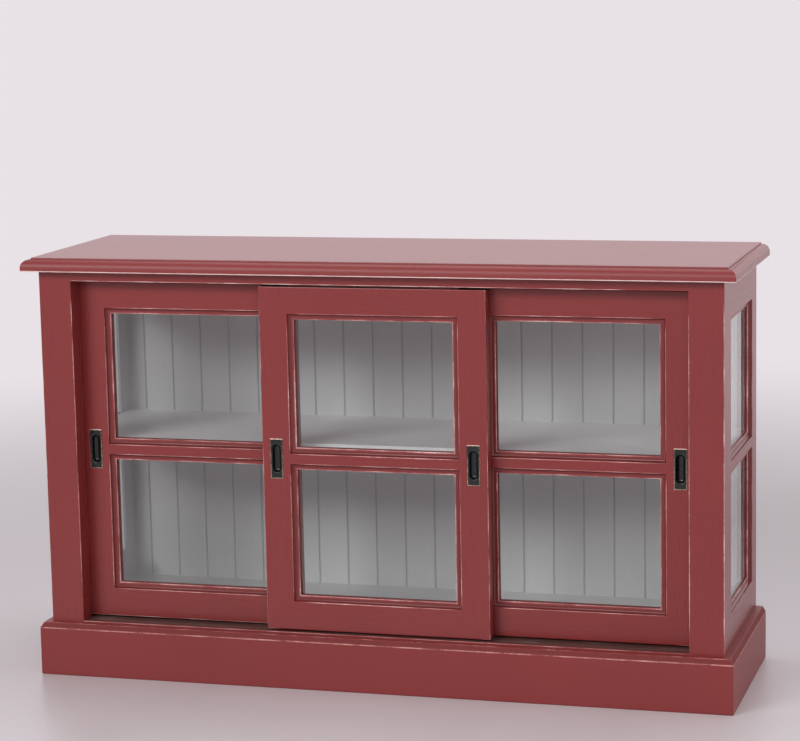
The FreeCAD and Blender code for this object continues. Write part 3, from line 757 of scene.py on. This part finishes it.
def make_side_frame(side):
    """A side of the cabinet behind its post: the rear stile and three rails round two openings."""
    worn = WEAR["side_frame"]
    rails = [f"{side}_side_{rail}_rail" for rail in ("top", "mid", "bottom")]
    names = [f"{side}_rear_stile", *rails]
    stile, top, mid, bottom = (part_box(name) for name in names)
    front, rear = top[0].y, stile[1].y
    run, depth = top[1].y - front, rear - front
    thickness, height = top[1].x - top[0].x, stile[1].z
    right = side == "right"
    post_end, back_end = (0, depth) if right else (depth, 0)
    start, end = (0, run) if right else (depth - run, depth)
    levels = ((0, bottom[0].z), (bottom[1].z, mid[0].z), (mid[1].z, top[0].z))
    piece = panel(f"{side}_side_frame", depth, height, thickness,
                  [(start, z0, end, z1) for z0, z1 in levels])
    back = (depth - BACK_REBATE, depth + MARGIN) if right else (-MARGIN, BACK_REBATE)
    carve(piece, (back[0], thickness - BACK_REBATE_DEPTH, -MARGIN),
          (back[1], thickness + MARGIN, height + MARGIN))

    def outside(p):
        return p.y < rim()

    def at_arris(p):
        if is_near(p.x, post_end) or not bottom[0].z + MARGIN < p.z < height - MARGIN:
            return False
        return abs(p.x - back_end) > BACK_REBATE + MARGIN or outside(p)
    rub_piece(piece, at_arris, lambda p: worn["outside" if outside(p) else "inside"])
    corner = (top[1].x, front, 0) if right else (top[0].x, rear, 0)
    move_into_place(piece, corner, math.pi / 2 if right else -math.pi / 2)
    inward = -X if right else X

    def finish_of(c, n):
        if n.dot(inward) > 0.9:
            return 2
        return 0 if c.y > stile[0].y else 1
    hand_over(piece, names, [red_along(2), red_along(1), grey_along(2)], finish_of)


def make_plinth_board(side):
    """A plinth board with a chamfered top edge, cut off at 45 degrees at the front corners."""
    sizes = settings().joinery
    node = f"plinth_{side}"
    worn = WEAR["plinth_front" if side == "front" else "plinth_sides"]
    low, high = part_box(node)
    piece = block(f"{side}_plinth", low, (high.x, high.y, high.z - sizes.plinth_chamfer_height))
    outward = {"left": -X, "right": X, "front": -Y}[side]
    face = max(low.dot(outward), high.dot(outward))

    def on_face(p, level):
        return is_near(p.z, level) and is_near(p.dot(outward), face)
    with EditMode(piece) as edit:
        edit.pick_facing(Z)
        edit.extrude((0, 0, sizes.plinth_chamfer_height))
        edit.pick("EDGE", lambda e: all(on_face(v.co, high.z) for v in e.verts))
        bpy.ops.transform.translate(value=tuple(-outward * sizes.plinth_chamfer_width))
        edit.rub_arrises(lambda p: on_face(p, low.z), 0.0, sizes.plinth_foot, 3)
        edit.close_up()
    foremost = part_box("plinth_front")[0].y
    corners = [(-1, low.x)] if side != "right" else []
    corners += [(1, high.x)] if side != "left" else []
    keep = 1 if side == "front" else -1
    with EditMode(piece) as edit:
        for hand, corner in corners:
            edit.cut((corner, foremost, 0), (keep * hand, keep, 0), clear_outer=True, use_fill=True)
        edit.close_up()

    def at_arris(p):
        if any(is_near(hand * (p.x - corner), foremost - p.y) for hand, corner in corners):
            return False
        return (p.dot(outward) > face - sizes.plinth_chamfer_width - MARGIN
                and p.z > low.z + 2 * sizes.plinth_foot)

    def on_chamfer(way):
        return 0.3 < way.z < 0.7
    # The lower arrises are rubbed pale partly as painted highlight, and the chamfer is darkened as
    # painted shade
    rub_piece(piece, at_arris, lambda p: worn["upper" if p.z > high.z - rim() else "lower"],
              lambda way: worn["slope"] if on_chamfer(way) else 0.0)
    hand_over(piece, [node], [scuffed_red_along(0 if side == "front" else 1), matt_red()],
              lambda c, n: int(on_chamfer(n)))


def make_sill():
    """The sill: a front lip, and a lower part drawn back from it that carries the track board."""
    worn = WEAR["sill"]
    low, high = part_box("sill")
    piece = block("door_sill", low, high)
    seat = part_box("track_board")[0].z
    carve(piece, (low.x - MARGIN, low.y + settings().joinery.sill_lip, seat),
          (high.x + MARGIN, high.y + MARGIN, high.z + MARGIN))

    def at_arris(p):
        return p.z > high.z - rim() and abs(p.x) < high.x - MARGIN
    rub_piece(piece, at_arris, lambda p: worn["front" if p.y < low.y + rim() else "back"])
    hand_over(piece, ["sill"], [red_along(0)])


def make_front_rail():
    """The narrow rail over the doors, rubbed along its lower edge but for its right end."""
    worn = WEAR["front_rail"]
    low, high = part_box("front_top_rail")
    piece = block("front_rail", low, high)
    sheltered = high.x - RAIL_SHELTER
    with EditMode(piece) as edit:
        edit.cut_at(X, sheltered - RAIL_FADE, sheltered)

    def at_arris(p):
        return p.z < low.z + rim() and abs(p.x) < high.x - MARGIN

    def wear(p):
        if p.x > sheltered - MARGIN:
            return worn["sheltered"]
        return worn["front" if p.y < low.y + rim() else "back"]
    rub_piece(piece, at_arris, wear)
    hand_over(piece, ["front_top_rail"], [red_along(0)])


def make_door_frame(door):
    """A door's stiles and rails, with pull seats, mortises for the rollers and the guide tongue."""
    tongue_half = settings().joinery.tongue / 2
    worn = WEAR["door"]
    names = [f"{door}_{name}" for name in (
        "left_stile", "right_stile", "top_rail", "mid_rail", "bottom_rail")]
    left, right, top, mid, bottom = (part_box(name) for name in names)
    low, high = left[0], right[1]
    x0, x1 = left[1].x, right[0].x
    levels = [(bottom[1].z, mid[0].z), (mid[1].z, top[0].z)]
    piece = panel(f"{door}_frame", high.x - low.x, high.z - low.z, high.y - low.y,
                  [(x0 - low.x, z0 - low.z, x1 - low.x, z1 - low.z) for z0, z1 in levels])
    move_into_place(piece, low)
    slack = Vector((SEAT_SLACK, 0, SEAT_SLACK))
    seats = []
    for pull in PULLS[door]:
        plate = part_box(pull)
        start, end = plate[0] - slack, plate[1] + slack
        carve(piece, (start.x, low.y - MARGIN, start.z), (end.x, end.y + SEAT_SLACK, end.z))
        seats.append((start, end))
    for side in SIDES:
        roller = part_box(f"{door}_{side}_roller")
        start, end = roller[0] - ROLLER_ROOM, roller[1] + ROLLER_ROOM
        carve(piece, (start.x, start.y, low.z - MARGIN), end)
    with EditMode(piece) as edit:
        edit.cut_at(X, *(x0 + share * (x1 - x0) for share in CORNER_SHARES))
        for z0, z1 in levels:
            edit.cut_at(Z, *(z0 + share * (z1 - z0) for share in CORNER_SHARES))
    reach = rim()

    def at_seat(p):
        return any(start.x - reach < p.x < end.x + reach and start.z - reach < p.z < end.z + reach
                   for start, end in seats)

    def at_corner(p):
        return any(math.hypot(p.x - x, p.z - z) <= CORNER
                   for x in (x0, x1) for level in levels for z in level)

    def in_mortise(p):
        return (p.z < low.z + reach and x0 < p.x < x1
                and low.y + reach < p.y < high.y - reach)

    def at_arris(p):
        return p.y < low.y + reach if at_seat(p) else not in_mortise(p)

    def wear(p):
        if at_seat(p) or p.y > high.y - reach:
            return worn["back"]
        if p.y > low.y + reach:
            return worn["through"]
        at_left = p.x < low.x + reach
        if at_left or p.x > high.x - reach:
            if p.z <= mid[0].z:
                return worn["low_edge"]
            return worn["left_edge" if at_left else "right_edge"]
        if p.z > high.z - reach:
            return worn["head"]
        if p.z < low.z + reach:
            return worn.get(f"{door}_foot", worn["foot"])
        if at_corner(p):
            return worn["corner"]
        if min(abs(p.x - x0), abs(p.x - x1)) < reach:
            return worn["low_upright" if p.z < mid[0].z + reach else "upright"]
        return worn["level"]
    rub_piece(piece, at_arris, wear)
    middle = (low.y + high.y) / 2
    tongue = block("tongue", (top[0].x, middle - tongue_half, high.z - MARGIN),
                   (top[1].x, middle + tongue_half, top[1].z))
    piece = join([piece, tongue], f"{door}_frame")
    hand_over(piece, names, [red_along(2), red_along(0)], lambda c, n: int(x0 <= c.x <= x1), door)


def moulding_line():
    """A moulding's widths, depths and wear, from the arris to the glass."""
    size = settings().joinery.moulding
    turns = [math.pi / 2 * n / COVE_CUTS for n in range(1, COVE_CUTS + 1)]
    line = [(0.0, COVE_START, COVE_START_WEAR)]
    line += [(COVE * (1 - math.cos(turn)), COVE_START + COVE * math.sin(turn), COVE_SHADE)
             for turn in turns]
    return [(u * size, v * size, wear) for u, v, wear in line + FILLET]


def mitred_ring(name, front, back, width, height, way, line):
    """A ring round one opening: a block's face is let in along a line, and its middle taken out."""
    ring = block(name, (0, front, 0), (width, back, height))
    (u, v, wear), *steps = line
    with EditMode(ring) as edit:
        edit.pick_facing(way)
        edit.rub(wear)
        for next_u, next_v, wear in steps:
            if next_u > u:
                edit.inset(next_u - u, v - next_v)
            else:
                edit.extrude((v - next_v) * way)
            edit.rub(wear)
            u, v = next_u, next_v
        edit.drop_faces()
        edit.pick_facing(-way)
        edit.inset(u)
        edit.drop_faces()
        edit.close_up()
    return ring


def glazing_set(name, width, height, thickness, rise, finishes):
    """Mouldings before and beads behind the glass of two openings, one above the other."""
    sizes = settings().joinery
    worn = WEAR["bead"]
    size, chamfer = sizes.moulding, sizes.bead_chamfer
    behind = size + sizes.pane
    line = moulding_line()
    moulding = mitred_ring("moulding", line[0][1], size, width, height, -Y, line)
    bead_line = [(0, 0, 0.0), (size - chamfer, 0, worn["flat"]), (size, chamfer, worn["chamfer"]),
                 (size, thickness - behind, worn["chamfer"])]
    bead = mitred_ring("bead", behind, thickness, width, height, Y, bead_line)
    lower = join([moulding, bead], f"{name}_lower")

    def finish_of(c, n):
        if c.y > size + sizes.pane / 2:
            return 2
        return 1 if min(c.x, width - c.x) < min(c.z, height - c.z) else 0
    paint_faces(lower, finishes, finish_of)
    upper = move_into_place(copy_piece(lower, f"{name}_upper"), (0, 0, rise))
    return join([lower, upper], name)


def make_door_glazing(door):
    """The mouldings and beads of a door's two panes."""
    left, right, mid, bottom = (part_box(f"{door}_{name}") for name in (
        "left_stile", "right_stile", "mid_rail", "bottom_rail"))
    face, low = left[0].y, bottom[1].z
    piece = glazing_set(
        f"{door}_mouldings", right[0].x - left[1].x, mid[0].z - low, left[1].y - face,
        mid[1].z - low, [red_along(0), red_along(2), matt_red()])
    move_into_place(piece, (left[1].x, face, low))
    hand_over(piece, [f"{door}_glazing_beads"], body=door)


def make_side_glazing():
    """The mouldings and beads of the two sides."""
    top, mid, bottom = (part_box(f"right_side_{rail}_rail") for rail in ("top", "mid", "bottom"))
    low = bottom[1].z
    right = glazing_set(
        "right_rings", top[1].y - top[0].y, mid[0].z - low, top[1].x - top[0].x,
        mid[1].z - low, [red_along(1), red_along(2), grey_along(2)])
    left = copy_piece(right, "left_rings")
    move_into_place(right, (top[1].x, top[0].y, low), math.pi / 2)
    move_into_place(left, (-top[1].x, top[1].y, low), -math.pi / 2)
    hand_over(join([right, left], "side_mouldings"), ["side_glazing_beads"])


def oblong_block(name, middle, half, front, back, floor_round=0.0):
    """An upright block whose two ends are half round, with a rounded floor at the back if asked."""
    piece = block(name, (middle.x - half.x, front, middle.z - half.z),
                  (middle.x + half.x, back, middle.z + half.z))
    almost_all = 0.9998  # of the half width, so that the two rounds of an end don't meet
    with EditMode(piece) as edit:
        edit.pick("EDGE", lambda e: abs((e.verts[0].co - e.verts[1].co).normalized().y) > 0.9)
        edit.bevel(almost_all * half.x, 10)
        edit.close_up()
        if floor_round:
            edit.pick("EDGE", lambda e: all(is_near(v.co.y, back) for v in e.verts)
                      and len(e.link_faces) == 2 and e.calc_face_angle(0) > SHARP)
            edit.bevel(floor_round, 6)
    return piece


def make_pull(door, node):
    """A flush pull: a thin plate with an oblong cup pressed back from it, all edges eased."""
    sizes = settings().joinery
    worn = WEAR["pull"]
    low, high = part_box(node)
    middle = (low + high) / 2
    slope, rise, wall = sizes.plate_slope, sizes.plate_rise, sizes.cup_wall
    piece = block(f"{node}_plate", (low.x, low.y + rise, low.z),
                  (high.x, low.y + sizes.plate, high.z))
    with EditMode(piece) as edit:
        edit.pick_facing(-Y)
        edit.inset(slope, rise)
        edit.inset(slope / 3)
        edit.cut_at(Z, high.z - 2 * slope)
    half = Vector((sizes.cup_width / 2, 0, sizes.cup_height / 2))
    shell = oblong_block("shell", middle, half + Vector((wall, 0, wall)),
                         low.y + sizes.plate / 2, high.y)
    combine(piece, shell, "UNION")
    cup = oblong_block("cup", middle, half, low.y - 2 * MARGIN, high.y - wall, sizes.cup_round)
    combine(piece, cup, "DIFFERENCE")
    edge = slope + TOUCHING

    def rim_wear_and_highlight(p):
        to_side = min(p.x - low.x, high.x - p.x)
        if p.y > low.y + slope or min(to_side, p.z - low.z, high.z - p.z) > edge:
            return 0.0
        if high.z - p.z < edge:
            return worn["top"]
        return worn["bottom" if p.z - low.z < edge else "sides"]

    def at_lip(p):
        return (is_near(p.y, low.y) and abs(p.x - middle.x) < half.x + TOUCHING
                and abs(p.z - middle.z) < half.z + TOUCHING)
    with EditMode(piece) as edit:
        edit.pick_all()
        edit.rub(rim_wear_and_highlight)
        edit.pick("EDGE", lambda e: all(at_lip(v.co) for v in e.verts))
        edit.bevel(sizes.cup_lip, 4)
        edit.rub(worn["lip"])
    hand_over(piece, [node], [finish("pull_bronze", make_bronze)], None, door)


def dress(material, *nodes):
    """CAD nodes that keep their shape take a finish."""
    for node in nodes:
        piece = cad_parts[node]
        if not piece.material_slots:
            piece.data.materials.append(material)
        for slot in piece.material_slots:
            slot.material = material


def dress_inside():
    """Finishes of the boards inside, the panes, the track and the rollers."""
    look, sizes = settings().paint, settings().joinery
    joints = (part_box("left_rear_stile")[0].x, sizes.board_pitch, sizes.board_joint)
    # The shelf's lighter grey is painted light
    dress(finish("shelf_grey", make_grey_paint, 0, look.shelf_grey), "shelf")
    dress(grey_along(0), "bottom_panel", "shelf_cleats", "back_rails")
    dress(finish("back_grey", make_grey_paint, 2, look.grey, joints), "back_boards")
    dress(finish("pane_glass", make_glass), "side_glass", *(f"{door}_glass" for door in DOORS))
    dress(finish("track_wood", make_track), "track_board", "guide_strips")
    dress(finish("pin_steel", make_pin_steel), *(f"{door}_roller_pins" for door in DOORS))
    dress(finish("wheel_nylon", make_nylon),
          *(f"{door}_{side}_roller" for door in DOORS for side in SIDES))


# Stage


def make_floor():
    """A wide pale floor that fades to the colour of the surround far from the cabinet."""
    stage = settings().stage
    clear_selection()
    bpy.ops.mesh.primitive_circle_add(vertices=96, radius=FLOOR_RADIUS, fill_type="NGON")
    piece = settle(named(bpy.context.object, "floor"))
    surface = Finish("pale_floor")
    boards = surface.noise(2.2, 4.0, (1.0, 0.15, 1.0))
    colour = surface.blend(surface.spread(boards), tint(stage.floor, 0.95), stage.floor)
    surface.set(base_color=colour, roughness=surface.spread(boards, 0.32, 0.4))
    away = surface.add("ShaderNodeVectorMath", {0: surface.place}, operation="LENGTH")
    far = surface.remap(away.outputs["Value"], *FLOOR_FADE, interpolation_type="SMOOTHSTEP")
    light = surface.add("ShaderNodeEmission", {"Color": opaque(stage.surround), "Strength": 1.0})
    seen = surface.math("MULTIPLY", far, rays_that_see(surface))
    surface.show_mix(seen, surface.shader, light)
    piece.data.materials.append(surface.material)


def rays_that_see(owner):
    """1 for the rays by which the surround is seen, mirrored or looked at through glass."""
    path = owner.add("ShaderNodeLightPath").outputs
    return owner.math("MAXIMUM", path["Is Camera Ray"],
                      owner.math("MAXIMUM", path["Is Glossy Ray"], path["Is Transmission Ray"]))


class WorldTree(Finish):
    """The world's node tree, with the same ways to add nodes."""

    def __init__(self, world):
        world.use_nodes = True
        self.tree = world.node_tree
        self.tree.nodes.clear()
        self.output = self.add("ShaderNodeOutputWorld")


def make_surround():
    """Even light from all round, seen as a pale surround that is brighter behind in reflections."""
    stage = settings().stage
    bpy.context.scene.world = bpy.data.worlds.new("pale_surround")
    tree = WorldTree(bpy.context.scene.world)
    even = tree.add("ShaderNodeBackground", {
        "Color": (1, 0.985, 0.99, 1), "Strength": stage.ambient})
    way = tree.add("ShaderNodeTexCoord").outputs["Generated"]
    to_back = tree.add("ShaderNodeSeparateXYZ", {0: way}).outputs["Y"]
    mirrored = tree.remap(to_back, -0.5, 0.6, stage.mirrored_front, stage.mirrored_back)
    path = tree.add("ShaderNodeLightPath").outputs
    seen = tree.add("ShaderNodeMix", {0: path["Is Glossy Ray"], 2: 1.0, 3: mirrored},
                    data_type="FLOAT")
    pale = tree.add("ShaderNodeBackground", {
        "Color": opaque(stage.surround), "Strength": seen.outputs[0]})
    tree.show_mix(rays_that_see(tree), even, pale)


def make_lamp(name, place, target, size):
    """A soft lamp of the power that the settings give it."""
    clear_selection()
    bpy.ops.object.light_add(type="AREA", location=place)
    lamp = bpy.context.object
    lamp.name = f"{name}_lamp"
    lamp.data.shape = "RECTANGLE"
    lamp.data.size, lamp.data.size_y = size
    lamp.data.energy = getattr(settings().stage, name)
    lamp.rotation_euler = (Vector(target) - Vector(place)).to_track_quat("-Z", "Y").to_euler()


def make_camera():
    """The camera at the photograph's place and angle."""
    stage = settings().stage
    clear_selection()
    bpy.ops.object.camera_add()
    camera = bpy.context.object
    camera.name = "view"
    camera.data.lens = stage.lens
    camera.data.sensor_fit = "HORIZONTAL"
    yaw, pitch, roll = stage.camera_turn
    camera.matrix_world = (
        Matrix.Translation(stage.camera_place) @ Matrix.Rotation(yaw, 4, "Z")
        @ Matrix.Rotation(math.pi / 2 - pitch, 4, "X") @ Matrix.Rotation(roll, 4, "Z"))
    bpy.context.scene.camera = camera


# Operators


class PieceOperator(bpy.types.Operator):
    """What the operators share."""
    bl_options = {"REGISTER", "UNDO"}


def done():
    """Ends an operator with nothing selected."""
    clear_selection()
    return {"FINISHED"}


class SIDEBOARD_OT_top(PieceOperator):
    """Model the moulded top board"""
    bl_idname = "sideboard.top"
    bl_label = "Top Board"

    def execute(self, context):
        make_top()
        return done()


class SIDEBOARD_OT_posts(PieceOperator):
    """Model the two front corner posts"""
    bl_idname = "sideboard.posts"
    bl_label = "Corner Posts"

    def execute(self, context):
        for side in SIDES:
            make_post(side)
        return done()


class SIDEBOARD_OT_side_frames(PieceOperator):
    """Model the two side frames behind the posts"""
    bl_idname = "sideboard.side_frames"
    bl_label = "Side Frames"

    def execute(self, context):
        for side in SIDES:
            make_side_frame(side)
        return done()


class SIDEBOARD_OT_plinth(PieceOperator):
    """Model the three mitred plinth boards"""
    bl_idname = "sideboard.plinth"
    bl_label = "Plinth"

    def execute(self, context):
        for side in ("front", *SIDES):
            make_plinth_board(side)
        return done()


class SIDEBOARD_OT_door_surround(PieceOperator):
    """Model the sill under the doors and the rail over them"""
    bl_idname = "sideboard.door_surround"
    bl_label = "Sill and Rail"

    def execute(self, context):
        make_sill()
        make_front_rail()
        return done()


class SIDEBOARD_OT_door_frames(PieceOperator):
    """Model the frames of the three doors"""
    bl_idname = "sideboard.door_frames"
    bl_label = "Door Frames"

    def execute(self, context):
        for door in DOORS:
            make_door_frame(door)
        return done()


class SIDEBOARD_OT_glazing(PieceOperator):
    """Model the mouldings and beads of the doors and sides"""
    bl_idname = "sideboard.glazing"
    bl_label = "Mouldings and Beads"

    def execute(self, context):
        for door in DOORS:
            make_door_glazing(door)
        make_side_glazing()
        return done()


class SIDEBOARD_OT_pulls(PieceOperator):
    """Model the flush pulls"""
    bl_idname = "sideboard.pulls"
    bl_label = "Flush Pulls"

    def execute(self, context):
        for door, pulls in PULLS.items():
            for pull in pulls:
                make_pull(door, pull)
        return done()


class SIDEBOARD_OT_inside(PieceOperator):
    """Finish the boards inside, the panes, the track and the rollers"""
    bl_idname = "sideboard.inside"
    bl_label = "Inside and Panes"

    def execute(self, context):
        dress_inside()
        return done()


class SIDEBOARD_OT_stage(PieceOperator):
    """Set the floor, the light and the camera"""
    bl_idname = "sideboard.stage"
    bl_label = "Stage"

    def execute(self, context):
        make_floor()
        make_surround()
        for name, lamp in LAMPS.items():
            make_lamp(name, *lamp)
        make_camera()
        return done()


OPERATORS = (
    SIDEBOARD_OT_top, SIDEBOARD_OT_posts, SIDEBOARD_OT_side_frames, SIDEBOARD_OT_plinth,
    SIDEBOARD_OT_door_surround, SIDEBOARD_OT_door_frames, SIDEBOARD_OT_glazing, SIDEBOARD_OT_pulls,
    SIDEBOARD_OT_inside, SIDEBOARD_OT_stage,
)


class SIDEBOARD_PT_pieces(bpy.types.Panel):
    """Lists the pieces and what can be changed on them"""
    bl_idname = "SIDEBOARD_PT_pieces"
    bl_label = "Glazed Sideboard"
    bl_space_type = "VIEW_3D"
    bl_region_type = "UI"
    bl_category = "Sideboard"

    def draw(self, context):
        for operator in OPERATORS:
            self.layout.operator(operator.bl_idname)
        chosen = context.scene.sideboard
        for group in (chosen.paint, chosen.joinery, chosen.stage):
            box = self.layout.box()
            for name in group.__annotations__:
                box.prop(group, name)


CLASSES = (SideboardPaint, SideboardJoinery, SideboardStage, SideboardSettings,
           *OPERATORS, SIDEBOARD_PT_pieces)


def register():
    for cls in CLASSES:
        bpy.utils.register_class(cls)
    bpy.types.Scene.sideboard = PointerProperty(type=SideboardSettings)


def unregister():
    del bpy.types.Scene.sideboard
    for cls in reversed(CLASSES):
        bpy.utils.unregister_class(cls)


def main():
    register()
    bpy.context.scene.view_settings.view_transform = "Standard"
    bpy.ops.sideboard.top()
    bpy.ops.sideboard.posts()
    bpy.ops.sideboard.side_frames()
    bpy.ops.sideboard.plinth()
    bpy.ops.sideboard.door_surround()
    bpy.ops.sideboard.door_frames()
    bpy.ops.sideboard.glazing()
    bpy.ops.sideboard.pulls()
    bpy.ops.sideboard.inside()
    bpy.ops.sideboard.stage()


if __name__ == "__main__":
    main()
